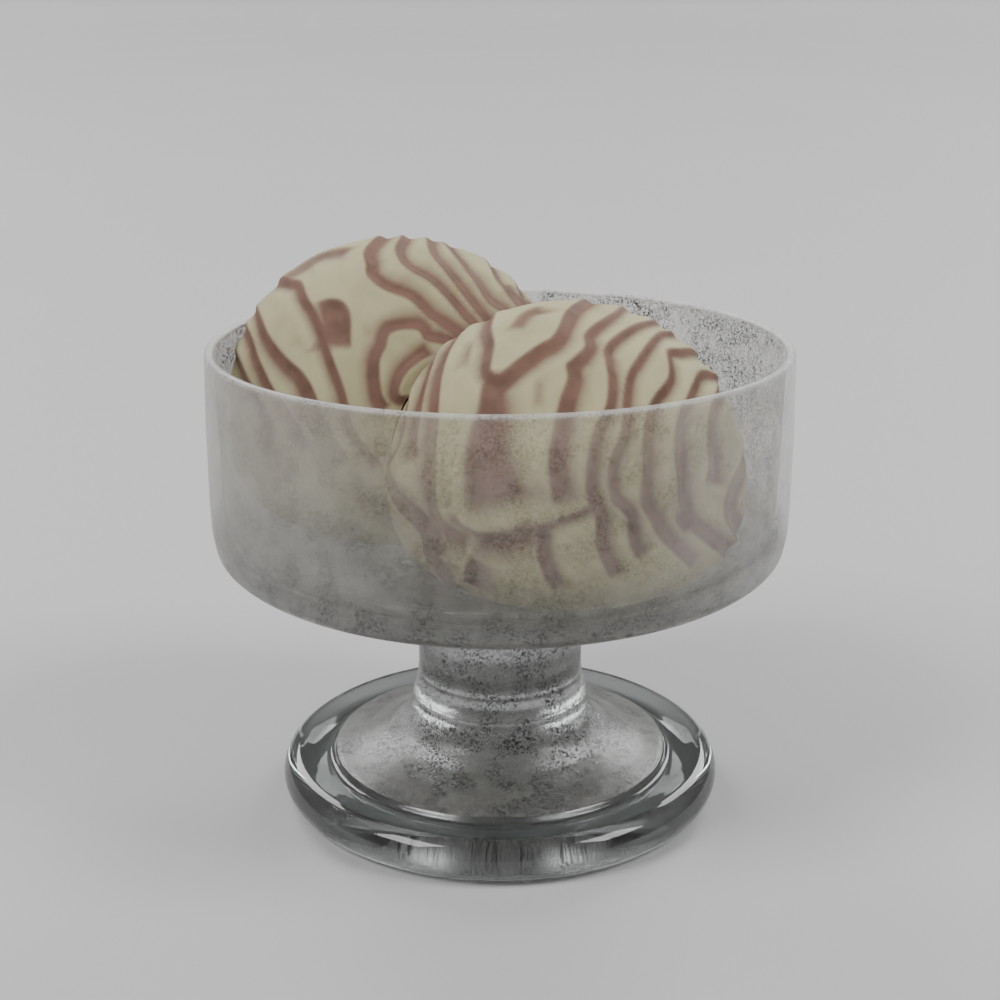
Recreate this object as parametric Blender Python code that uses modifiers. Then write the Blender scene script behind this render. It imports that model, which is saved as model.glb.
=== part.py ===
"""An ice cream sundae: two rippled scoops in a frosted coupe glass on a round foot.

The glass stands on the plane z = 0 with its axis on z, and is one turned solid.
The front scoop rests on the floor of the bowl, in front and a little to the right. The
back scoop stands behind it at the left, pressed against it and against the wall, so it
is flatter from front to back, and hollowed where the two meet.
The sundae is looked at from the -Y side. Lengths in the tables are millimetres.
"""

import math
from collections import namedtuple

import bmesh
import bpy
import numpy as np

MM = 0.001
COLLECTION = "ice_cream_sundae"

# Coupe glass: heights above the table and radii from the axis.
RIM_HEIGHT = 87.8
RIM_RADIUS = 53.05
LIP_WIDTH = 1.6
BELLY_RADIUS = 53.4
STEM_RADIUS = 15.6
STEM_TOP = 39.9
STEM_FOOT = 23.5
COLLAR_RADIUS = 16.6
COLLAR_HEIGHT = 19.5
DISC_RADIUS = 31.9
DISC_HEIGHT = 8.4
GROOVE_RADIUS = 33.5
GROOVE_DEPTH = 0.9
RING_TOP = 38.4
FOOT_RADIUS = 42.16
FOOT_HEIGHT = 8.2
FLOOR_HEIGHT = 45.4

# The outside of the bowl, from the lip down to the stem, and its inside, from the
# middle of the floor up to the lip. Each is a smooth curve through these (radius, height).
OUTSIDE = [
    (BELLY_RADIUS, 73.0), (BELLY_RADIUS, 59.0), (53.0, 53.4), (51.6, 49.8),
    (46.5, 46.9), (33.6, 42.7), (22.0, 40.7),
]
INSIDE = [
    (0.0, FLOOR_HEIGHT), (18.0, FLOOR_HEIGHT + 0.2), (33.0, 46.9), (43.8, 49.9),
    (48.6, 52.8), (50.7, 56.6), (51.2, 70.0),
]

# Scoops: a ball with a full round top and a flatter base. Each has its own middle, its size
# against the plain ball, its depth from front to back against its width, and its base.
SCOOP_RADIUS = 31.7
SCOOP_TOP = 33.0
TOP_POWER = 2.06
BASE_POWER = 2.4
Ball = namedtuple("Ball", "middle size depth base")
FRONT_BALL = Ball(np.array([11.7, -16.4, 65.1]), 0.99, 1.0, 18.4)
BACK_BALL = Ball(np.array([-19.6, 14.5, 69.6]), 1.046, 0.85, 23.2)
SCOOP_GAP = 0.35
WALL_GAP = 0.45

# Ripple: each ridge climbs slowly to a crest and drops into a trough beyond it.
CREST = 0.34
TROUGH = 0.36
CLIMB = 2.8
DROP = 1.5
FADE = 4.0

# The ridges are laid out as they are seen from the front, from a little above, in
# millimetres to the right of a scoop's middle and above it, on a ball of plain size. The
# trough lies on the left hand of a walker along the crest. A crest that reaches the edge
# of the view runs on.
VIEWER = (0.0, -292.5, 151.4)
VIEW_TILT = math.radians(17.8)
FRONT_RIDGES = [
    [(-29.5, 7), (-28, 14), (-24, 22.5)],
    [(-26.5, 5), (-25.5, 14), (-24, 20.5), (-20, 26.5)],
    [(-20, -7), (-23, 6), (-22.5, 14), (-17.5, 28)],
    [(2.5, 33), (-2, 27), (-6.5, 23.5), (-12.5, 19), (-13, 25), (-12.5, 30.5)],
    [(-15.5, 16.5), (-17.5, 7), (-18, 0), (-16, -4.5)],
    [(9, 31.5), (3.5, 27), (0, 21.5), (-3, 6), (-2.5, -3.5), (-5, -11)],
    [(15, 29.5), (7, 25), (7, 14.5), (3.5, 4), (5, -6), (8, -16)],
    [(18.5, 27.5), (12.5, 23), (10, 15), (7.5, 4), (10.5, -5.5), (13, -13)],
    [(23, 24.5), (18, 24), (18, 19.5), (14, 10.5), (13, -3), (17.5, -10)],
    [(26.5, 20), (22.5, 19), (19.5, 11), (20, -3), (26.5, -11.5)],
    [(26, 15.5), (25, 10), (25, 0.5)],
]
BACK_RIDGES = [
    [(-25, 3), (-27.5, 7), (-30, 12.5)],
    [(-20, 1), (-23, 5.5), (-27, 15), (-28, 17.5)],
    [(-13.5, -0.5), (-16.5, 8.5), (-23.5, 14.5), (-26, 20.5)],
    [(-8, -2.5), (-12, 11), (-15.5, 20), (-18, 25), (-21.5, 25.5)],
    [(-8.5, 13.5), (-9, 20), (-12.5, 21), (-15.5, 20)],
    [(-4, 33), (-6, 28), (-2.5, 23.5), (2, 21.5), (10.5, 15)],
    [(0.5, 33), (-0.5, 30.5), (5.5, 24.5), (13, 17)],
    [(5, 33), (5.5, 30.5), (12, 22.5), (15.5, 18)],
    [(9, 31.5), (14, 24.5), (19, 19.5)],
    [(15.5, 29.5), (19.5, 23), (22, 20)],
    [(20.5, 26.5), (24, 20.5)],
    [(-1.5, 2), (-3.5, 10), (-1.5, 15.5), (3, 16), (8, 13.5)],
]
RUN_ON = 75.0
EDGE_OF_VIEW = 27.0

GLASS_STEPS = 36
CURVE_STEPS = 2
SCOOP_SUBDIVISIONS = 5


def clear_scene():
    for thing in list(bpy.data.objects):
        bpy.data.objects.remove(thing, do_unlink=True)
    for collection in list(bpy.data.collections):
        bpy.data.collections.remove(collection)


def new_collection(name):
    collection = bpy.data.collections.new(name)
    bpy.context.scene.collection.children.link(collection)
    return collection


def material(name, colour, roughness, metallic=0.0, transmission=0.0):
    mat = bpy.data.materials.new(name)
    mat.use_nodes = True
    shader = mat.node_tree.nodes["Principled BSDF"]
    shader.inputs["Base Color"].default_value = (*colour, 1.0)
    shader.inputs["Roughness"].default_value = roughness
    shader.inputs["Metallic"].default_value = metallic
    shader.inputs["Transmission Weight"].default_value = transmission
    return mat


def smooth_curve(points, steps):
    """A Catmull-Rom curve through the points, with this many steps from each to the next."""
    points = np.asarray(points, float)
    padded = np.vstack([2 * points[0] - points[1], points, 2 * points[-1] - points[-2]])
    curve = []
    for before, start, end, after in zip(padded, padded[1:], padded[2:], padded[3:]):
        for step in range(steps):
            t = step / steps
            bend = 2 * before - 5 * start + 4 * end - after
            twist = 3 * (start - end) + after - before
            curve.append(start + 0.5 * t * ((end - before) + t * (bend + t * twist)))
    curve.append(points[-1])
    return np.array(curve)


def quarter(centre, across, up, start, end, steps):
    """Points on an ellipse about a centre, between two angles in degrees."""
    turn = np.radians(np.linspace(start, end, steps + 1))
    return np.column_stack([centre[0] + across * np.cos(turn), centre[1] + up * np.sin(turn)])


def glass_profile():
    """Half of the glass's section, from the bowl's floor over the lip to the underside."""
    lip_round = LIP_WIDTH / 2
    lip_middle = (RIM_RADIUS - lip_round, RIM_HEIGHT - lip_round)
    ring_middle = (RING_TOP, FOOT_HEIGHT / 2)
    flare = [(COLLAR_RADIUS, COLLAR_HEIGHT), (18.4, 14.6), (22.5, 10.9), (DISC_RADIUS, DISC_HEIGHT)]
    return np.vstack([
        smooth_curve(INSIDE, CURVE_STEPS),
        quarter(lip_middle, lip_round, lip_round, 180, 0, 2),
        smooth_curve(OUTSIDE, CURVE_STEPS),
        [(STEM_RADIUS, STEM_TOP), (STEM_RADIUS, STEM_FOOT)],
        smooth_curve(flare, 2),
        [(GROOVE_RADIUS, FOOT_HEIGHT - GROOVE_DEPTH)],
        quarter(ring_middle, FOOT_RADIUS - RING_TOP, FOOT_HEIGHT / 2, 90, -90, 4),
        [(0.0, 0.0)],
    ])


def turned(name, profile, steps, collection):
    """A solid of revolution: the profile in the XZ plane with a Screw modifier."""
    mesh = bpy.data.meshes.new(name)
    bm = bmesh.new()
    verts = [bm.verts.new((radius * MM, 0.0, height * MM)) for radius, height in profile]
    for start, end in zip(verts, verts[1:]):
        bm.edges.new((start, end))
    bm.to_mesh(mesh)
    bm.free()
    thing = bpy.data.objects.new(name, mesh)
    collection.objects.link(thing)
    screw = thing.modifiers.new("turn", "SCREW")
    screw.axis = "Z"
    screw.angle = 2 * math.pi
    screw.steps = steps
    screw.render_steps = steps
    screw.use_merge_vertices = True
    screw.merge_threshold = 0.00001
    screw.use_smooth_shade = True
    return thing


def unit(rows):
    return rows / np.linalg.norm(rows, axis=-1, keepdims=True)


def ball_radius(aim, ball):
    """Distance from a scoop's middle to its plain surface, along unit directions."""
    upward = aim[:, 2] > 0
    power = np.where(upward, TOP_POWER, BASE_POWER)
    reach = np.where(upward, SCOOP_TOP * ball.size, ball.base)
    level = np.hypot(aim[:, 0], aim[:, 1] / ball.depth) / (SCOOP_RADIUS * ball.size)
    return (level ** power + (np.abs(aim[:, 2]) / reach) ** power) ** (-1 / power)


def aim_of(seen, ball):
    """Directions from a scoop's middle to what the viewer sees at (right, above) places."""
    right = np.array([1.0, 0.0, 0.0])
    above = np.array([0.0, math.sin(VIEW_TILT), math.cos(VIEW_TILT)])
    viewer = np.array(VIEWER)
    middle = ball.middle
    target = middle + ball.size * (seen[:, :1] * right + seen[:, 1:] * above)
    sight = unit(target - viewer)
    deepest = ((middle - viewer) * sight).sum(axis=1)
    outer = deepest - 1.5 * SCOOP_RADIUS
    inner = deepest.copy()
    for _ in range(30):
        halfway = (outer + inner) / 2
        offset = viewer + halfway[:, None] * sight - middle
        inside = np.linalg.norm(offset, axis=1) < ball_radius(unit(offset), ball)
        inner = np.where(inside, halfway, inner)
        outer = np.where(inside, outer, halfway)
    return unit(viewer + inner[:, None] * sight - middle)


def run_on(aim, before):
    """The direction reached by going on from one direction past the next, round the ball."""
    onward = unit(aim - before * (before @ aim))
    angle = math.radians(RUN_ON) / 3
    start = math.acos(float(np.clip(before @ aim, -1, 1)))
    turns = [start + angle * step for step in (1, 2, 3)]
    return [before * math.cos(turn) + onward * math.sin(turn) for turn in turns]


def crest_path(seen, ball):
    """Unit directions along one crest, carried on where it reaches the edge of the view."""
    seen = np.asarray(seen, float)
    aims = list(aim_of(seen, ball))
    if math.hypot(*seen[0]) > EDGE_OF_VIEW:
        aims = run_on(aims[0], aims[1])[::-1] + aims
    if math.hypot(*seen[-1]) > EDGE_OF_VIEW:
        aims = aims + run_on(aims[-1], aims[-2])
    return unit(smooth_curve(aims, 6))


def ease(x):
    x = np.clip(x, 0.0, 1.0)
    return x * x * (3 - 2 * x)


def ridge_relief(aim, paths):
    """Height of the ripple over the plain ball, in millimetres, along unit directions."""
    relief = np.zeros(len(aim))
    for path in paths:
        start = path[:-1]
        run = path[1:] - start
        along = ((aim[:, None] - start) * run).sum(axis=2) / (run * run).sum(axis=1)
        along = np.clip(along, 0.0, 1.0)
        away = np.linalg.norm(aim[:, None] - start - along[..., None] * run, axis=2)
        nearest = away.argmin(axis=1)
        rows = np.arange(len(aim))
        side = (aim * np.cross(start, path[1:])[nearest]).sum(axis=1)
        distance = SCOOP_RADIUS * away[rows, nearest] * np.sign(side)
        length = SCOOP_RADIUS * np.concatenate([[0.0], np.linalg.norm(run, axis=1).cumsum()])
        place = length[nearest] + along[rows, nearest] * (length[nearest + 1] - length[nearest])
        fade = ease(place / FADE) * ease((length[-1] - place) / FADE)
        climb = CREST * ease(1 + distance / CLIMB)
        drop = CREST - (CREST + TROUGH) * ease(distance / DROP)
        back = -TROUGH * ease(1 - (distance - DROP) / CLIMB)
        ridge = np.where(distance < 0, climb, np.where(distance < DROP, drop, back))
        relief += ridge * fade
    return relief


def inside_bowl(points):
    """Keep points clear of the bowl: within its wall and above its floor."""
    radius, height = smooth_curve(INSIDE + [(RIM_RADIUS - LIP_WIDTH, RIM_HEIGHT)], 8).T
    across = np.hypot(points[:, 0], points[:, 1])
    room = np.interp(points[:, 2], height, radius) - WALL_GAP
    low = points[:, 2] < RIM_HEIGHT + 3.0
    shrink = np.where(low & (across > room), room / np.maximum(across, 1.0), 1.0)
    points[:, :2] *= shrink[:, None]
    across = np.minimum(across, radius[-1])
    points[:, 2] = np.maximum(points[:, 2], np.interp(across * shrink, radius, height) + WALL_GAP)
    return points


def scoop(name, ball, ridges, collection, swell=0.0):
    """A scoop of ice cream: a ball pushed out to its plain surface and its ripple."""
    bm = bmesh.new()
    bmesh.ops.create_icosphere(bm, subdivisions=SCOOP_SUBDIVISIONS, radius=1.0)
    aim = unit(np.array([vert.co[:] for vert in bm.verts]))
    paths = [crest_path(seen, ball) for seen in ridges]
    reach = ball_radius(aim, ball) + ridge_relief(aim, paths) + swell
    points = ball.middle + aim * reach[:, None]
    if swell == 0.0:
        points = inside_bowl(points)
    for vert, point in zip(bm.verts, points * MM):
        vert.co = point
    mesh = bpy.data.meshes.new(name)
    bm.to_mesh(mesh)
    bm.free()
    mesh.shade_smooth()
    thing = bpy.data.objects.new(name, mesh)
    collection.objects.link(thing)
    return thing


def hollow(thing, cutter):
    """Cut one piece away where another lies, and keep both objects."""
    cutter.hide_render = True
    cutter.display_type = "WIRE"
    cut = thing.modifiers.new("meets_" + cutter.name, "BOOLEAN")
    cut.operation = "DIFFERENCE"
    cut.solver = "EXACT"
    cut.object = cutter


def main():
    clear_scene()
    parts = new_collection(COLLECTION)
    cutters = new_collection("cutters")

    glass = turned("coupe_glass", glass_profile(), GLASS_STEPS, parts)
    glass.data.materials.append(material("frosted_glass", (0.62, 0.63, 0.63), 0.4, 0.0, 0.6))

    ice_cream = material("ripple_ice_cream", (0.47, 0.42, 0.30), 0.55)
    front = scoop("scoop_front", FRONT_BALL, FRONT_RIDGES, parts)
    back = scoop("scoop_back", BACK_BALL, BACK_RIDGES, parts)
    for thing in (front, back):
        thing.data.materials.append(ice_cream)
    hollow(back, scoop("front_scoop_room", FRONT_BALL, FRONT_RIDGES, cutters, SCOOP_GAP))


main()
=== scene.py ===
# %% [markdown]
# An ice cream sundae: two scoops of cream ice cream with a cocoa ripple, in a coupe of frosted
# glass on a round foot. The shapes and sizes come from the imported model, which is loaded first
# and stays where it is. This lesson then dresses it: one piece of turned glass with a matt and
# a polished finish, and two scoops whose ripple is both a low ridge and a stain.

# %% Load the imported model
import math
from collections import namedtuple

import bmesh
import bpy
import numpy as np
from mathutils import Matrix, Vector


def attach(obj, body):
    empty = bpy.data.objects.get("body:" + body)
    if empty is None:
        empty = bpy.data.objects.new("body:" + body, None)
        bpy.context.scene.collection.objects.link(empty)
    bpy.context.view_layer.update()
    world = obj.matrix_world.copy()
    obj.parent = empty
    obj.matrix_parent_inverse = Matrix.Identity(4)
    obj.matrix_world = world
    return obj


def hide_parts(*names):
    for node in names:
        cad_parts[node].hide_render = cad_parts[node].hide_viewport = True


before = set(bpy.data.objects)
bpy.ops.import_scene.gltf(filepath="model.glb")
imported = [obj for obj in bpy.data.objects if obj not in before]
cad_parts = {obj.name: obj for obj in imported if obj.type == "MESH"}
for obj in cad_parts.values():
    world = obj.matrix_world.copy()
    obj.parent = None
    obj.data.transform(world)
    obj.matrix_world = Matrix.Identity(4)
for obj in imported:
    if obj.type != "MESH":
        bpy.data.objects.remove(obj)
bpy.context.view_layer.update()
MM = 0.001

# %% [markdown]
# The camera comes first, because the ripple is laid out as it is seen from there. It stands in
# front of the glass, a little above the rim, and looks down by almost eighteen degrees. Its
# lens was worked out from the ellipses that the rim, the lip and the foot make.

# %% Camera
EYE = np.array([0.0, -292.5, 151.4])
TILT = math.radians(17.81)
LENS = 59.1
SENSOR = 36.0

camera = bpy.data.objects.new("camera", bpy.data.cameras.new("camera"))
bpy.context.scene.collection.objects.link(camera)
bpy.context.scene.camera = camera
camera.location = EYE * MM
camera.rotation_euler = (math.pi / 2 - TILT, 0.0, 0.0)
camera.data.lens = LENS
camera.data.sensor_width = SENSOR
print("camera at", [round(value, 4) for value in camera.location], "lens", LENS)

# %% [markdown]
# Every finish here is a node tree. Written node by node, such trees are long and hard to read,
# so two small classes do the wiring. The first is a Wire: a socket that can stand in a sum, so
# that 1 - mask adds its own Math node.


# %% A socket that can be used in sums
class Wire:
    """A socket of a node tree that can be used in an expression."""

    def __init__(self, bench, socket):
        self.bench = bench
        self.socket = socket

    def combine(self, operation, left, right):
        return self.bench.node("ShaderNodeMath", {"operation": operation}, {0: left, 1: right})

    def __add__(self, other):
        return self.combine("ADD", self, other)

    def __radd__(self, other):
        return self.combine("ADD", other, self)

    def __sub__(self, other):
        return self.combine("SUBTRACT", self, other)

    def __rsub__(self, other):
        return self.combine("SUBTRACT", other, self)

    def __mul__(self, other):
        return self.combine("MULTIPLY", self, other)

    def __rmul__(self, other):
        return self.combine("MULTIPLY", other, self)

    def __pow__(self, other):
        return self.combine("POWER", self, other)


# %% [markdown]
# The second is a Bench, which holds the node tree of one finish. It makes any node from its
# type, its settings and what goes into it, and has a short word for each kind used often.


# %% The bench where a finish is wired
class Bench:
    """The node tree of one finish."""

    def __init__(self, name):
        self.material = bpy.data.materials.new(name)
        self.material.use_nodes = True
        self.tree = self.material.node_tree
        self.tree.nodes.clear()
        self.place = self.node("ShaderNodeTexCoord", output="Object")

    def node(self, kind, settings=None, inputs=None, output=0):
        made = self.tree.nodes.new(kind)
        for name, value in (settings or {}).items():
            setattr(made, name, value)
        for name, value in (inputs or {}).items():
            if isinstance(value, Wire):
                self.tree.links.new(value.socket, made.inputs[name])
            else:
                made.inputs[name].default_value = value
        return Wire(self, made.outputs[output])

    def axis(self, number):
        """The place along x, y or z, in millimetres."""
        return self.node("ShaderNodeSeparateXYZ", {}, {"Vector": self.place}, output=number) * 1000

    def noise(self, size, detail=3.0, roughness=0.55, place=None, stretch=0.0):
        """Cloudy noise whose blotches are about this size, in millimetres."""
        inputs = {"Vector": place or self.place, "Scale": 1 / (size * MM), "Detail": detail}
        inputs.update({"Roughness": roughness, "Distortion": stretch})
        return self.node("ShaderNodeTexNoise", {}, inputs)

    def step(self, value, low, high, floor=0.0, roof=1.0):
        """A soft step: floor below low, roof above high."""
        inputs = {"Value": value, "From Min": low, "From Max": high, "To Min": floor, "To Max": roof}
        return self.node("ShaderNodeMapRange", {"interpolation_type": "SMOOTHSTEP"}, inputs)

    def mix(self, factor, low, high):
        """Colour low where the factor is 0, colour high where it is 1."""
        settings = {"data_type": "RGBA", "clamp_factor": True}
        return self.node("ShaderNodeMix", settings, {0: factor, 6: low, 7: high}, output=2)

    def bump(self, height, strength, distance):
        inputs = {"Height": height, "Strength": strength, "Distance": distance * MM}
        return self.node("ShaderNodeBump", {}, inputs)

    def shader(self, **inputs):
        named = {name.replace("_", " "): value for name, value in inputs.items()}
        return self.node("ShaderNodeBsdfPrincipled", {}, named)

    def blend(self, factor, first, second):
        return self.node("ShaderNodeMixShader", {}, {0: factor, 1: first, 2: second})

    def finish(self, surface):
        output = self.tree.nodes.new("ShaderNodeOutputMaterial")
        self.tree.links.new(surface.socket, output.inputs["Surface"])
        print("finish", self.material.name, "has", len(self.tree.nodes), "nodes")
        return self.material


def grey(value):
    return (value, value, value, 1.0)


# %% [markdown]
# The frosted finish of a real coupe is made with acid or a fine enamel, which leaves a thin
# milky veil of uneven thickness on clear glass. What stands close behind a thin wall stays
# readable, so part of the light goes straight through the wall, and the thick stem and foot
# only scatter it. Here rough clear glass is mixed with a matt grey veil, a little thicker at
# the left. The thick glass below the wall has a darker grey tint, partly its own colour and
# partly painted shade. Clouds of small dark hairs lie in the veil; they are the frosting's
# pattern, and where they gather on the stem, on the foot and inside the far wall they are also
# painted shade. The lip is painted pale all round as a highlight, most strongly on its inner
# face at the far side, so that it shines as a pale line.

# %% Frosted glass
VEIL = (0.56, 0.545, 0.505, 1.0)
# Painted highlight: the lip's pale colour stands for the light that its edge catches.
LIP_HIGHLIGHT = (0.93, 0.93, 0.92, 1.0)
VEIL_DARK = (0.02, 0.02, 0.02, 1.0)
THIN_TINT = (1.0, 0.985, 0.95, 1.0)
# Partly the glass's own colour, partly painted shade that keeps the thick stem and foot dark.
THICK_TINT_AND_SHADE = (0.66, 0.68, 0.68, 1.0)
STRAIGHT_SHARE = 0.8
DIMMING = 0.4
# Each pair is where a soft step starts and ends, in millimetres, as the sizes below are too.
WALL_HEIGHTS = (46.0, 58.0)
LIP_HEIGHTS = (86.7, 87.5)
INNER_RADII = (52.0, 52.6)
FAR_PLACES = (-30.0, 5.0)
DIM_PLACES = (-30.0, -10.0)
CLOUD_SIZE = 5.0
MOTTLE_SIZE = 1.6
HAIR_SIZE = 0.5
GRAIN_SIZE = 0.4
STRAY_HAIRS = 0.12
MORE_INSIDE = 0.25


def frosted_glass():
    bench = Bench("frosted_glass")
    height = bench.axis(2)
    wall = bench.step(height, *WALL_HEIGHTS)
    across = (bench.axis(0) ** 2.0 + bench.axis(1) ** 2.0) ** 0.5
    inner = bench.step(across, *INNER_RADII, 1.0, 0.0)
    far_inside = bench.step(bench.axis(1), *FAR_PLACES) * inner
    plain_wall = wall * (1.0 - far_inside)
    dim_side = bench.step(bench.axis(0), *DIM_PLACES, 1.0, 0.0)
    # Painted highlight: this band of the lip is painted pale and milky, with fewer dark hairs.
    lip = bench.step(height, *LIP_HEIGHTS)
    cloud = bench.step(bench.noise(CLOUD_SIZE, 3.0, 0.6), 0.34, 0.56) ** (1.0 + 2.0 * plain_wall)
    hairs = bench.step(bench.noise(HAIR_SIZE, 3.0, 0.8, stretch=1.0), 0.48, 0.55)
    # More dark hairs inside the far wall: the frosting's pattern, and also painted shade.
    stray = STRAY_HAIRS + MORE_INSIDE * far_inside
    speck = hairs * (stray + (1.0 - stray) * cloud) * (1.0 - 0.5 * lip)
    mottle = bench.noise(MOTTLE_SIZE, 5.0, 0.7)
    milk = bench.mix(lip, VEIL, LIP_HIGHLIGHT)
    colour = bench.mix(speck, milk, VEIL_DARK)
    # Partly painted shade: the thick glass below the wall takes the darker tint.
    tint = bench.mix(wall, THICK_TINT_AND_SHADE, THIN_TINT)
    normal = bench.bump(bench.noise(GRAIN_SIZE, 3.0), 0.3, 0.04)
    clear = bench.shader(
        Base_Color=tint, Roughness=0.25, IOR=1.46, Transmission_Weight=1.0, Normal=normal,
        Alpha=1.0 - STRAIGHT_SHARE * wall * (1.0 - DIMMING * dim_side),
    )
    milky = bench.shader(Base_Color=colour, Roughness=0.42, Normal=normal)
    # The lip's term is a painted highlight, weaker at the front and on the outside than on the inner
    # face at the far side.
    milk_share = 0.01 + (0.28 - 0.04 * plain_wall) * mottle + lip * (0.6 - 0.4 * plain_wall)
    # Dark hairs are the frosting's pattern; their thick share on the stem, the foot and inside the far
    # wall is also painted shade.
    speck_share = speck * (0.8 - 0.68 * plain_wall)
    return bench.finish(bench.blend(milk_share + speck_share, clear, milky))


# %% [markdown]
# The outer ring of the foot was left out of the frosting, so it is plain polished glass. Its
# look comes from what it bends and mirrors, and from a dark grey-green tint that is partly the
# glass's own colour and partly painted shade. Only a faint unevenness, as hot glass keeps when
# it is turned, goes into the roughness and the normal.

# %% Clear glass
# Partly the glass's own colour, partly painted shade that keeps the ring dark on the pale floor.
CLEAR_TINT_AND_SHADE = (0.47, 0.495, 0.49, 1.0)
TURNING_SIZE = 14.0


def clear_glass():
    bench = Bench("clear_glass")
    normal = bench.bump(bench.noise(TURNING_SIZE, 2.0), 0.12, 0.6)
    roughness = 0.01 + 0.03 * bench.noise(3.0)
    surface = bench.shader(
        Base_Color=CLEAR_TINT_AND_SHADE, Roughness=roughness, IOR=1.5, Transmission_Weight=1.0, Normal=normal
    )
    return bench.finish(surface)


# %% [markdown]
# The coupe is a turned shape: a bowl with a thin wall, a thick floor, a solid stem with two
# faint collars, and a foot with a flat disc inside a rounded ring. Half of its section is a
# chain of points, and a full spin about the axis makes the glass. The lip and the edge of the
# foot are arcs. The bowl and the flare are smooth curves through a few measured places.

# %% Measures of the glass, in millimetres
RIM_HEIGHT = 87.8
RIM_RADIUS = 53.05
LIP_WIDTH = 1.6
BELLY_RADIUS = 53.4
STEM_RADIUS = 15.6
STEM_TOP = 39.9
STEM_FOOT = 23.9
COLLAR = (16.6, 19.5)
CORNER = 0.5
BEAD_CORNER = 0.7
BEAD = 0.13
BEAD_FOOT = 0.22
DISC_RADIUS = 31.9
DISC_HEIGHT = 8.4
GROOVE_RADIUS = 33.5
GROOVE_DEPTH = 0.9
RING_TOP = 38.4
FOOT_RADIUS = 42.16
FOOT_HEIGHT = 8.2
FLOOR_HEIGHT = 45.4
OUTSIDE = [
    (BELLY_RADIUS, 73.0), (BELLY_RADIUS, 59.0), (53.0, 53.4), (51.6, 49.8),
    (46.5, 46.9), (33.6, 42.7), (22.0, 40.7),
]
INSIDE = [
    (0.0, FLOOR_HEIGHT), (18.0, FLOOR_HEIGHT + 0.2), (33.0, 46.9), (43.8, 49.9),
    (48.6, 52.8), (50.7, 56.6), (51.2, 70.0),
]
FLARE = [
    COLLAR, (17.2, 16.4), (18.8, 13.6), (21.3, 11.6), (22.6, 11.1), (27.0, 9.5),
    (DISC_RADIUS, DISC_HEIGHT),
]
print("glass:", RIM_HEIGHT, "mm high,", 2 * RIM_RADIUS, "mm across, foot", 2 * FOOT_RADIUS, "mm across")


# %% Curves for the section
def smooth_curve(points, steps):
    """A Catmull-Rom curve through the points, with this many steps from each to the next."""
    points = np.asarray(points, float)
    padded = np.vstack([2 * points[0] - points[1], points, 2 * points[-1] - points[-2]])
    curve = []
    for before, start, end, after in zip(padded, padded[1:], padded[2:], padded[3:]):
        for step in range(steps):
            t = step / steps
            bend = 2 * before - 5 * start + 4 * end - after
            twist = 3 * (start - end) + after - before
            curve.append(start + 0.5 * t * ((end - before) + t * (bend + t * twist)))
    curve.append(points[-1])
    return np.array(curve)


def oval(centre, across, up, start, end, steps):
    """Points on an ellipse about a centre, between two angles in degrees."""
    turn = np.radians(np.linspace(start, end, steps + 1))
    return np.column_stack([centre[0] + across * np.cos(turn), centre[1] + up * np.sin(turn)])


def soft_corner(before, corner, after, size=CORNER, bead=0.0):
    """Points in place of a corner, so that it catches a narrow light. A bead stands out from
    it by a little, with a hollow foot on both sides."""
    before, corner, after = (np.array(point, float) for point in (before, corner, after))
    into = corner + (before - corner) * size / np.linalg.norm(before - corner)
    out = corner + (after - corner) * size / np.linalg.norm(after - corner)
    top = (into + 2 * corner + out) / 4 + np.array([bead, 0.0])
    sides = [(into + top) / 2, (top + out) / 2]
    if bead:
        sides = [side + np.array([BEAD_FOOT * bead, 0.0]) for side in sides]
    return [into, sides[0], top, sides[1], out]


# %% Section of the glass
lip_round = LIP_WIDTH / 2
lip_middle = (RIM_RADIUS - lip_round, RIM_HEIGHT - lip_round)
foot_middle = (RING_TOP, FOOT_HEIGHT / 2)
stem_top = (STEM_RADIUS, STEM_TOP)
stem_foot = (STEM_RADIUS, STEM_FOOT)
ring_valley = [
    (DISC_RADIUS, DISC_HEIGHT), (DISC_RADIUS + 0.3, DISC_HEIGHT - 0.3),
    (DISC_RADIUS + 0.7, DISC_HEIGHT - 0.9), (GROOVE_RADIUS, FOOT_HEIGHT - GROOVE_DEPTH),
    (34.9, FOOT_HEIGHT - 0.55), (36.6, FOOT_HEIGHT - 0.12), (RING_TOP, FOOT_HEIGHT),
]
section = np.vstack([
    smooth_curve(INSIDE, 8),
    oval(lip_middle, lip_round, lip_round, 180, 0, 10),
    smooth_curve(OUTSIDE, 8),
    soft_corner(OUTSIDE[-1], stem_top, stem_foot),
    soft_corner(stem_top, stem_foot, COLLAR, BEAD_CORNER, BEAD),
    soft_corner(stem_foot, COLLAR, FLARE[1], BEAD_CORNER, BEAD),
    smooth_curve(FLARE, 6)[3:],
    smooth_curve(ring_valley, 4)[1:],
    oval(foot_middle, FOOT_RADIUS - RING_TOP, FOOT_HEIGHT / 2, 90, -90, 24)[1:],
    [(36.0, 0.0), (DISC_RADIUS, 0.0), (0.0, 0.0)],
])
print("the glass's section has", len(section), "points")


# %% Spin the glass
def mesh_piece(name, bm, *finishes):
    """An object from a bmesh, at the origin, with its finishes and smooth shading."""
    mesh = bpy.data.meshes.new(name)
    bm.to_mesh(mesh)
    bm.free()
    for finish in finishes:
        mesh.materials.append(finish)
    mesh.shade_smooth()
    piece = bpy.data.objects.new(name, mesh)
    bpy.context.scene.collection.objects.link(piece)
    return piece


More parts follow.
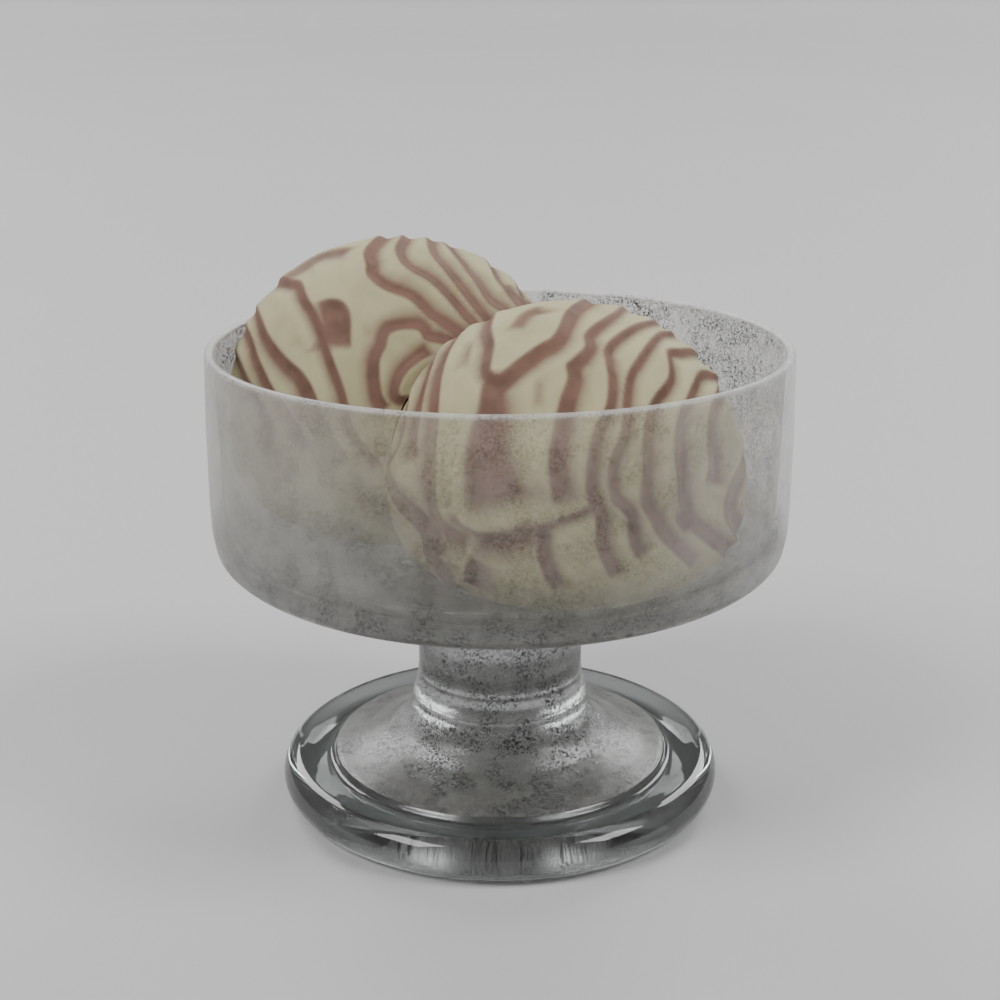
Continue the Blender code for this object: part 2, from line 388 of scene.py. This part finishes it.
def spun(section, steps):
    """A closed mesh from half a section that starts and ends on the axis."""
    bm = bmesh.new()
    chain = [bm.verts.new((radius * MM, 0.0, height * MM)) for radius, height in section]
    links = [bm.edges.new(pair) for pair in zip(chain, chain[1:])]
    bmesh.ops.spin(
        bm, geom=chain + links, cent=(0, 0, 0), axis=(0, 0, 1), angle=2 * math.pi,
        steps=steps, use_merge=True, use_duplicate=False,
    )
    bmesh.ops.remove_doubles(bm, verts=bm.verts, dist=0.002 * MM)
    bmesh.ops.recalc_face_normals(bm, faces=bm.faces)
    return bm


GLASS_STEPS = 320
turned_glass = spun(section, GLASS_STEPS)
for face in turned_glass.faces:
    middle = face.calc_center_median() / MM
    beyond_disc = math.hypot(middle.x, middle.y) > DISC_RADIUS
    face.material_index = int(beyond_disc and middle.z < DISC_HEIGHT + 0.2)
coupe = mesh_piece("coupe", turned_glass, frosted_glass(), clear_glass())
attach(coupe, "root")
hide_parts("coupe_glass")
print("coupe:", len(coupe.data.polygons), "faces")

# %% [markdown]
# A scoop is a ball with a full round top and a flatter base, as the tool leaves it. The back
# one is pressed in between the front one and the wall, so it is less deep than wide. Its
# surface is worked out along a direction from its middle. That makes it easy to push a fine
# ball of triangles out to it, to lay ridges over it, and to swell it by the small gap that
# the second scoop keeps.

# %% Measures of the scoops, in millimetres
SCOOP_RADIUS = 31.7
SCOOP_TOP = 33.0
# A power of 2 gives an ellipse, and a higher one is fuller at its shoulders.
TOP_POWER = 2.06
BASE_POWER = 2.4
Ball = namedtuple("Ball", "middle size depth base")
FRONT_BALL = Ball(np.array([11.7, -16.4, 65.1]), 0.99, 1.0, 18.4)
BACK_BALL = Ball(np.array([-19.6, 14.5, 69.6]), 1.046, 0.85, 23.2)
SCOOP_GAP = 0.35
WALL_GAP = 0.4
ball_widths = [round(2 * SCOOP_RADIUS * ball.size, 1) for ball in (FRONT_BALL, BACK_BALL)]
print("balls before they are pressed:", ball_widths, "mm wide")


def unit(rows):
    return rows / np.linalg.norm(rows, axis=-1, keepdims=True)


def ball_radius(aim, ball):
    """Distance from a scoop's middle to its plain surface, along unit directions."""
    upward = aim[:, 2] > 0
    power = np.where(upward, TOP_POWER, BASE_POWER)
    reach = np.where(upward, SCOOP_TOP * ball.size, ball.base)
    level = np.hypot(aim[:, 0], aim[:, 1] / ball.depth) / (SCOOP_RADIUS * ball.size)
    return (level ** power + (np.abs(aim[:, 2]) / reach) ** power) ** (-1 / power)


# %% [markdown]
# The ripple is a ribbon of cocoa sauce that the scooping tool drags through the ice cream.
# Each stripe starts sharply at a low crest, runs down a short slope into a trough and fades
# out in the cream beyond it. So a stripe is drawn as the line of its crest, with the stain on
# the left hand of a walker along it. The places are millimetres to the right of the scoop's
# middle and above it, as the camera sees them.

# %% Stripes
Stripe = namedtuple("Stripe", "seen wash strength")


def stripe(seen, wash=1.6, far_wash=None, strength=1.0):
    """A crest line, the stain's width at its start and at its end, and how dark it is."""
    return Stripe(seen, (wash, far_wash or wash), strength)


# Two weak, wide strokes in this list are painted olive shade in the cream rather than sauce.
FRONT_STRIPES = [
    stripe([(-29.5, 7), (-28, 14), (-27, 18), (-24, 22.5), (-22.5, 24.5)], 2.1),
    stripe([(-26.5, 5), (-25.5, 14), (-24, 20.5), (-21.5, 25), (-19.5, 27)], 2.3),
    stripe([(-17, -9), (-20, -7), (-22.5, -4), (-23, 7), (-22.5, 14), (-20, 25), (-17.5, 28)], 2.5),
    # Painted shade: a weak olive stroke in the cream, not sauce.
    stripe([(-17.5, 20), (-16.5, 24), (-15, 28)], 3.2, strength=0.45),
    stripe([(2.7, 33), (0, 31), (-2, 27), (-5, 25), (-9.5, 21.7), (-12.3, 19.2), (-15, 17)], 2.4),
    stripe([(-10, 19.3), (-11.6, 19.6), (-13.3, 20.8), (-12.7, 25), (-13.2, 28.2), (-12.6, 30.4)],
           2.0, 2.4),
    stripe([(-14.8, 20), (-15.5, 14), (-17.6, 7), (-18, 0), (-16.8, -5.5)], 3.0, 11.0, 0.92),
    stripe([(9, 31.3), (7, 30), (3.4, 27.2), (3.2, 24.6), (0, 21.7)], 1.0, 2.2),
    stripe([(1.8, 23), (0, 21.7), (0.2, 19), (-1.2, 15), (-3, 6), (-3, 1.4), (-2.3, -3.4)], 2.2, 3.6),
    stripe([(-5, -6.8), (-5.2, -11), (-3.7, -16), (-1.8, -18.5)], 2.2),
    stripe([(15, 29.4), (11.6, 28.5), (7, 25), (7, 22), (7.4, 19), (7, 14.4), (5, 10.3),
            (3.6, 4), (3.7, -2), (5.2, -5.7), (5.3, -10.7), (7.8, -16.4)], 1.0, 2.5),
    stripe([(18.3, 27.6), (16.2, 27.4), (12.5, 22.8), (10.7, 19.6), (10, 14.8), (9.6, 9.4),
            (7.5, 4), (7.8, -2), (10.5, -5.3), (11.4, -10.7), (13.2, -13.2)], 1.1, 2.3),
    stripe([(23, 24.6), (20.3, 24.4), (17.8, 24.2), (18, 19.6), (15, 15.3), (13.7, 10.3),
            (13.3, 1.4), (13.2, -3), (15.3, -6.6), (17.6, -10), (22, -14.6)], 1.1, 2.8),
    stripe([(26.5, 19.8), (23.7, 20.5), (22.4, 18.5), (21.5, 16.4), (19.4, 11.2), (19.2, 5),
            (20.3, -3), (22.4, -7.5), (26.5, -11.4)], 1.2, 3.0),
    stripe([(-3.7, 32.4), (-7.5, 31), (-9.5, 29), (-10.9, 27.3)], 2.6, strength=0.7),
    stripe([(26, 15.7), (24.9, 10.3), (24.9, 0.5)], 2.6),
    stripe([(20.3, -3.2), (19.9, -6), (22, -9)], 4.2, 3.4),
    stripe([(28.6, 0.2), (28.5, -5.7), (29.7, -8.5)], 4.0),
    stripe([(-5.5, -5.7), (-11.7, -7.7), (-17.4, -7.5)], 4.2, strength=0.85),
    stripe([(-26, -7.8), (-24.6, -12.8), (-22.4, -15.8)], 3.0),
    stripe([(-17, -12), (-18, -17)], 4.0),
    # Painted shade: a weak olive stroke in the cream, not sauce.
    stripe([(-5.6, 21), (-6.4, 12)], 2.2, strength=0.42),
    stripe([(5.2, -2.8), (1.6, -4.4), (-4.6, -6.6), (-11.7, -8.1), (-17, -7.3), (-20.5, -4.5)], 1.2),
]
BACK_STRIPES = [
    stripe([(-22, -3), (-25, 3), (-27.5, 7), (-29, 10.5), (-30, 12.5)], 1.8),
    stripe([(-16, -5), (-20, 1), (-23, 5.5), (-25, 9.5), (-27, 15), (-28, 17.5)], 2.2),
    stripe([(-9, -8), (-13.6, -0.5), (-15.4, 4.6), (-17.4, 8), (-20.3, 10.7), (-23.4, 14.5),
            (-25.4, 19), (-26, 20.7)], 4.0, 1.4),
    stripe([(-3, -9), (-8, -2.4), (-9.3, 2.8), (-10.4, 6.5), (-12.1, 11), (-13.6, 16),
            (-15.3, 19.8), (-16.6, 21.8), (-17.9, 24.9), (-19.9, 25.5), (-21.7, 25.5)], 1.9),
    stripe([(-8.9, 12.6), (-8.7, 17), (-9.1, 19.6), (-10.6, 21.3), (-12.9, 21.6), (-15.2, 20.9)],
           6.0, 8.4),
    stripe([(-7, 31.2), (-11, 31), (-15.5, 29.5), (-19.5, 26.8), (-22, 24.5)], 3.0, 1.6, 0.72),
    stripe([(-4, 33), (-6.3, 30.4), (-6, 28), (-5.6, 25.7), (-2.6, 23.3), (1.9, 21.5),
            (5.8, 18), (10.3, 15), (14, 12)], 2.5, 2.0),
    stripe([(0.4, 33), (-0.6, 30.6), (1.2, 27.5), (5.7, 24.7), (8.7, 21.7), (11.9, 18),
            (12.9, 17), (16, 13)], 1.9, 1.6),
    stripe([(5, 33), (5.5, 30.7), (7.9, 27.5), (11.9, 22.4), (15.4, 18), (19, 14)], 1.9, 1.6),
    stripe([(8.9, 31.3), (11.5, 28), (14.2, 24.5), (16.3, 21.3), (18.9, 19.2), (22, 16)], 1.9, 1.6),
    stripe([(15.3, 29.4), (17.2, 26.4), (19.5, 23.2), (22, 20), (25, 16.5)], 2.0),
    stripe([(20.6, 26.7), (22.3, 22.8), (24, 20.5), (26.5, 17)], 2.0),
    stripe([(-1.4, 2), (-3, 4), (-3.5, 9.8), (-2.3, 12.8), (-1.3, 15.4), (3.2, 16), (5, 14),
            (8, 13.3), (12, 12)], 2.8, 2.0),
    stripe([(2.2, 4.2), (0.2, 4), (0.3, 6), (1.6, 8.3), (3.9, 10.2), (6.5, 11.8)], 1.8, 2.4),
    stripe([(-3.2, 12), (-3.6, 20)], 3.6, strength=0.4),
    stripe([(-17, 12), (-18.5, 17)], 3.0, strength=0.3),
]
print("stripes:", len(FRONT_STRIPES), "on the front scoop,", len(BACK_STRIPES), "on the back one")

# %% [markdown]
# To lie on the ball, a seen place is followed along the line of sight until it meets the
# surface. A crest that reaches the edge of the view goes on behind it, so that the back is
# rippled too.

# %% From the view onto the ball
RUN_ON = math.radians(75.0)
RUN_STEPS = 3
CURVE_STEPS = 6
EDGE_OF_VIEW = 27.0
HALVINGS = 30
RIGHT = np.array([1.0, 0.0, 0.0])
ABOVE = np.array([0.0, math.sin(TILT), math.cos(TILT)])


def aim_of(seen, ball):
    """Directions from a scoop's middle to what the camera sees at (right, above) places."""
    middle = ball.middle
    target = middle + ball.size * (seen[:, :1] * RIGHT + seen[:, 1:] * ABOVE)
    sight = unit(target - EYE)
    deepest = ((middle - EYE) * sight).sum(axis=1)
    outer = deepest - 1.5 * SCOOP_RADIUS
    inner = deepest.copy()
    for _ in range(HALVINGS):
        halfway = (outer + inner) / 2
        offset = EYE + halfway[:, None] * sight - middle
        inside = np.linalg.norm(offset, axis=1) < ball_radius(unit(offset), ball)
        inner = np.where(inside, halfway, inner)
        outer = np.where(inside, outer, halfway)
    return unit(EYE + inner[:, None] * sight - middle)


def run_on(aim, before, sight):
    """Directions that go on past an end, over the edge of the view and down the back."""
    onward = sight + 0.5 * unit(aim - before)
    onward = unit(onward - aim * (aim @ onward))
    turns = [RUN_ON * step / RUN_STEPS for step in range(1, RUN_STEPS + 1)]
    return [aim * math.cos(turn) + onward * math.sin(turn) for turn in turns]


def crest_path(line, ball):
    """Unit directions along one crest, carried on where it reaches the edge of the view, and
    the first and last of them that are seen."""
    seen = line.seen
    aims = list(aim_of(np.asarray(seen, float), ball))
    sight = unit(ball.middle - EYE)
    lead = RUN_STEPS if line.strength == 1 and math.hypot(*seen[0]) > EDGE_OF_VIEW else 0
    tail = RUN_STEPS if line.strength == 1 and math.hypot(*seen[-1]) > EDGE_OF_VIEW else 0
    before = run_on(aims[0], aims[1], sight)[::-1] if lead else []
    after = run_on(aims[-1], aims[-2], sight) if tail else []
    path = unit(smooth_curve(before + aims + after, CURVE_STEPS))
    return path, (CURVE_STEPS * lead, len(path) - 1 - CURVE_STEPS * tail)


# %% Distance from a crest
LEAST_SHARE = 0.4


def ease(x):
    x = np.clip(x, 0.0, 1.0)
    return x * x * (3 - 2 * x)


def from_crest(aim, path, shown, ball):
    """For each direction: millimetres from the crest, positive on its left, millimetres from
    the crest's nearer end, and the share of its seen part that lies behind. Where the ball
    turns away from the camera, the distance is nearer to the one that is seen, so that a
    stripe keeps its look up to the edge."""
    start = path[:-1]
    run = path[1:] - start
    square = (run * run).sum(axis=1)
    shift = (start * run).sum(axis=1)
    reach = aim @ run.T
    free = (reach - shift) / square
    along = np.clip(free, 0.0, 1.0)
    apart = 1 + (start * start).sum(axis=1) + 2 * along * (shift - reach) + along ** 2 * square
    apart = apart - 2 * (aim @ start.T)
    nearest = apart.argmin(axis=1)
    rows = np.arange(len(aim))
    side = (aim * np.cross(start, path[1:])[nearest]).sum(axis=1)
    distance = SCOOP_RADIUS * np.sqrt(np.maximum(apart[rows, nearest], 0.0)) * np.sign(side)
    sight = unit(ball.middle - EYE)
    reach = aim - start[nearest] - along[rows, nearest][:, None] * run[nearest]
    slant = np.abs(reach @ sight) / np.maximum(np.linalg.norm(reach, axis=1), 1e-6)
    seen_share = np.sqrt(np.maximum(1 - slant ** 2, LEAST_SHARE ** 2))
    distance *= seen_share + (1 - seen_share) * ease(0.5 + 2.5 * (aim @ sight))
    length = SCOOP_RADIUS * np.concatenate([[0.0], np.sqrt(square).cumsum()])
    along[:, 0] = np.minimum(free[:, 0], along[:, 0])
    along[:, -1] = np.maximum(free[:, -1], along[:, -1])
    place = length[nearest] + along[rows, nearest] * (length[nearest + 1] - length[nearest])
    first, last = length[list(shown)]
    share = np.clip((place - first) / (last - first), 0.0, 1.0)
    return distance, np.minimum(place, length[-1] - place), share


# %% [markdown]
# One stripe gives two things. Its relief is a slow climb to the crest, a short drop and a
# slow return. Its stain is kept as a number that grows evenly with the distance from the
# edge, not as a finished darkness: between the mesh's points such a number stays exact, so
# the shader can draw an edge that is finer than the triangles. On its soft side a stripe ends
# in a wide halo, where only a little sauce has mixed with the cream; the halo is also painted
# shade of the trough.

# %% Relief and stain
# The crest stands over the plain ball and the trough lies under it. The other lengths run
# along the surface, all in millimetres, and the shares and stains have no unit.
CREST = 0.34
TROUGH = 0.36
CLIMB = 2.8
DROP = 1.5
FADE = 3.0
SHARP_EDGE = 0.6
SOFT_SHARE = 0.35
STAIN_FADE = 1.6
STAIN_AT_END = 0.15
HALO_STARTS = 0.4
HALO = 0.5


def ripple(aim, stripes, ball):
    """Height over the plain ball in millimetres, and the stain, along unit directions."""
    relief = np.zeros(len(aim))
    stain = np.full(len(aim), -1.0)
    for line in stripes:
        distance, to_end, share = from_crest(aim, *crest_path(line, ball), ball)
        ends = ease(to_end / FADE)
        climb = CREST * ease(1 + distance / CLIMB)
        drop = CREST - (CREST + TROUGH) * ease(distance / DROP)
        back = -TROUGH * ease(1 - (distance - DROP) / CLIMB)
        ridge = np.where(distance < 0, climb, np.where(distance < DROP, drop, back))
        relief += ridge * ends * min(1.0, line.strength + 0.2)
        width = line.wash[0] + (line.wash[1] - line.wash[0]) * share
        blur = (1 - line.strength) * width
        sharp = 0.5 + distance / (SHARP_EDGE + blur)
        soft = 0.5 + (width - distance) / (0.5 + SOFT_SHARE * width + blur)
        # The halo: thin sauce and painted shade of the trough.
        soft = np.where(soft < HALO_STARTS, HALO_STARTS - HALO * (HALO_STARTS - soft), soft)
        tip = to_end / (STAIN_FADE + 2 * blur) + STAIN_AT_END
        drawn = np.minimum.reduce([sharp, soft, tip, np.ones(len(aim))])
        stain = np.maximum(stain, drawn - (1 - line.strength))
    return relief, stain


# %% [markdown]
# The ice cream itself is satin, a little see-through at its skin, and slightly rough with
# fine ice. The cream has faint cooler clouds. The stain reads the number that was stored on
# the mesh, with a little noise so that its edges waver as sauce does. Where the sauce is thin,
# it shades the cream to olive, and this olive is also painted shade of the troughs beside the
# stripes. Only the core is a full cocoa brown.

# %% Ice cream
CREAM = (0.535, 0.49, 0.295, 1.0)
CREAM_CLOUD = (0.46, 0.43, 0.25, 1.0)
# Olive of thin sauce, also painted shade in the troughs and in two weak strokes.
THIN_COCOA_AND_SHADE = (0.34, 0.262, 0.170, 1.0)
COCOA = (0.235, 0.130, 0.097, 1.0)
COCOA_DEEP = (0.176, 0.100, 0.071, 1.0)
WAVERING = 0.3


def ripple_ice_cream():
    bench = Bench("ripple_ice_cream")
    stored = bench.node("ShaderNodeAttribute", {"attribute_name": "stain"}, output="Fac")
    wavering = stored + WAVERING * (bench.noise(2.2, 4.0) - 0.5)
    cloud = bench.step(bench.noise(7.0, 3.0), 0.42, 0.68)
    cream = bench.mix(0.7 * cloud, CREAM, CREAM_CLOUD)
    depth = bench.step(bench.noise(5.0, 2.0), 0.35, 0.7)
    cocoa = bench.mix(depth, COCOA, COCOA_DEEP)
    # The olive layer: thin sauce and painted shade.
    shaded = bench.mix(bench.step(wavering, -0.3, 0.6), cream, THIN_COCOA_AND_SHADE)
    colour = bench.mix(bench.step(wavering, 0.2, 0.95), shaded, cocoa)
    ice = bench.noise(0.8, 4.0, 0.6)
    normal = bench.bump(ice + 0.6 * bench.noise(3.2, 2.0), 0.25, 0.16)
    roughness = 0.58 + 0.12 * ice
    surface = bench.shader(
        Base_Color=colour, Roughness=roughness, Normal=normal, Subsurface_Weight=0.12,
        Subsurface_Scale=0.0015, Specular_IOR_Level=0.22,
    )
    return bench.finish(surface)


ice_cream = ripple_ice_cream()


# %% [markdown]
# Both scoops start as the same fine ball. The glass limits them: where a scoop would cross
# the wall or the floor, it is pressed back to just inside it. The back scoop is then
# hollowed by a copy of the front one that is swollen by the gap.

# %% Shape the scoops
BALL_SUBDIVISIONS = 7
OVER_RIM = 3.0


def inside_bowl(points):
    """Keep points clear of the bowl: within its wall and above its floor."""
    radius, height = smooth_curve(INSIDE + [(RIM_RADIUS - LIP_WIDTH, RIM_HEIGHT)], 8).T
    across = np.hypot(points[:, 0], points[:, 1])
    room = np.interp(points[:, 2], height, radius) - WALL_GAP
    low = points[:, 2] < RIM_HEIGHT + OVER_RIM
    shrink = np.where(low & (across > room), room / np.maximum(across, 1.0), 1.0)
    points[:, :2] *= shrink[:, None]
    across = np.minimum(across, radius[-1])
    points[:, 2] = np.maximum(points[:, 2], np.interp(across * shrink, radius, height) + WALL_GAP)
    return points


def scoop(name, ball, stripes, swell=0.0):
    bm = bmesh.new()
    bmesh.ops.create_icosphere(bm, subdivisions=BALL_SUBDIVISIONS, radius=1.0)
    aim = unit(np.array([vert.co[:] for vert in bm.verts]))
    relief = ripple(aim, stripes, ball)[0]
    points = ball.middle + aim * (ball_radius(aim, ball) + relief + swell)[:, None]
    if not swell:
        points = inside_bowl(points)
    for vert, point in zip(bm.verts, points * MM):
        vert.co = point
    return mesh_piece(name, bm, ice_cream)


front_scoop = scoop("ice_cream_front", FRONT_BALL, FRONT_STRIPES)
back_scoop = scoop("ice_cream_back", BACK_BALL, BACK_STRIPES)
front_room = scoop("front_room", FRONT_BALL, FRONT_STRIPES, SCOOP_GAP)
cut = back_scoop.modifiers.new("meets_front", "BOOLEAN")
cut.operation = "DIFFERENCE"
cut.solver = "EXACT"
cut.object = front_room
hollowed = back_scoop.evaluated_get(bpy.context.evaluated_depsgraph_get())
hollowed_mesh = bpy.data.meshes.new_from_object(hollowed)
back_scoop.modifiers.clear()
back_scoop.data = hollowed_mesh
bpy.data.objects.remove(front_room, do_unlink=True)
print("back scoop, hollowed:", len(hollowed_mesh.polygons), "faces")

# %% [markdown]
# The stain is worked out anew on the finished meshes, because the hollow has brought new
# points. It could be painted by hand too, but worked out from the crest lines it always lies
# where the ridges are. The edge of the hollow is kept sharp, and all the rest is smooth.

# %% Stain the scoops
STAIN_RANGE = (-0.6, 1.6)
SHARP_ANGLE = math.radians(50)

for piece, node, ball, stripes in (
    (front_scoop, "scoop_front", FRONT_BALL, FRONT_STRIPES),
    (back_scoop, "scoop_back", BACK_BALL, BACK_STRIPES),
):
    mesh = piece.data
    places = np.empty(3 * len(mesh.vertices))
    mesh.vertices.foreach_get("co", places)
    aim = unit(places.reshape(-1, 3) / MM - ball.middle)
    stain = ripple(aim, stripes, ball)[1]
    layer = mesh.attributes.new("stain", "FLOAT", "POINT")
    layer.data.foreach_set("value", np.clip(stain, *STAIN_RANGE).astype(np.float32))
    mesh.set_sharp_from_angle(angle=SHARP_ANGLE)
    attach(piece, "root")
    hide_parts(node)
    sides = [round(side / MM, 1) for side in np.ptp(places.reshape(-1, 3), axis=0)]
    print(piece.name, "is", sides, "mm, stained over", round(float((stain > 0.5).mean()), 2))

# %% [markdown]
# The sundae stands on a pale floor in soft studio light. Four soft boxes stand round it under a
# weak pale sky. The two in front shape the scoops, and the two farther behind shine through
# the frosted wall, draw the bright edges of the foot and leave their glints in its clear ring.

# %% Floor
FLOOR_SIZE = 30.0
FLOOR_DROP = 0.2
bench = Bench("pale_floor")
pale = bench.mix(bench.noise(400.0, 2.0), grey(0.60), grey(0.64))
floor_finish = bench.finish(bench.shader(Base_Color=pale, Roughness=0.7))
floor_mesh = bmesh.new()
bmesh.ops.create_grid(floor_mesh, x_segments=1, y_segments=1, size=FLOOR_SIZE / 2)
bmesh.ops.translate(floor_mesh, verts=floor_mesh.verts, vec=(0, 0, -FLOOR_DROP * MM))
floor = mesh_piece("floor", floor_mesh, floor_finish)


# %% Lights
def lamp(name, place, target, size, power):
    data = bpy.data.lights.new(name, "AREA")
    data.shape = "RECTANGLE"
    data.size, data.size_y = size
    data.energy = power
    light = bpy.data.objects.new(name, data)
    light.location = place
    light.rotation_mode = "QUATERNION"
    light.rotation_quaternion = (Vector(target) - Vector(place)).to_track_quat("-Z", "Y")
    bpy.context.scene.collection.objects.link(light)
    print("lamp", name, "at", place, "with", power, "W")


AIM = (0.0, 0.0, 0.05)


def box_lamp(name, turn, rise, distance, size, power):
    """A soft box at a turn from the camera's side, in degrees, and a rise over the table."""
    turn, rise = math.radians(turn), math.radians(rise)
    level = distance * math.cos(rise)
    place = (level * math.sin(turn), -level * math.cos(turn), AIM[2] + distance * math.sin(rise))
    lamp(name, place, AIM, size, power)


box_lamp("left_box", -58, 46, 5.2, (2.2, 2.2), 160.0)
box_lamp("right_box", 72, 46, 5.2, (2.0, 2.0), 130.0)
box_lamp("left_rear_box", -150, 34, 13.0, (5.0, 6.0), 640.0)
box_lamp("right_rear_box", 150, 32, 13.0, (5.0, 6.0), 640.0)

world = bpy.data.worlds.new("studio")
bpy.context.scene.world = world
world.use_nodes = True
sky = world.node_tree.nodes["Background"]
sky.inputs["Color"].default_value = (0.92, 0.92, 0.92, 1.0)
sky.inputs["Strength"].default_value = 0.24
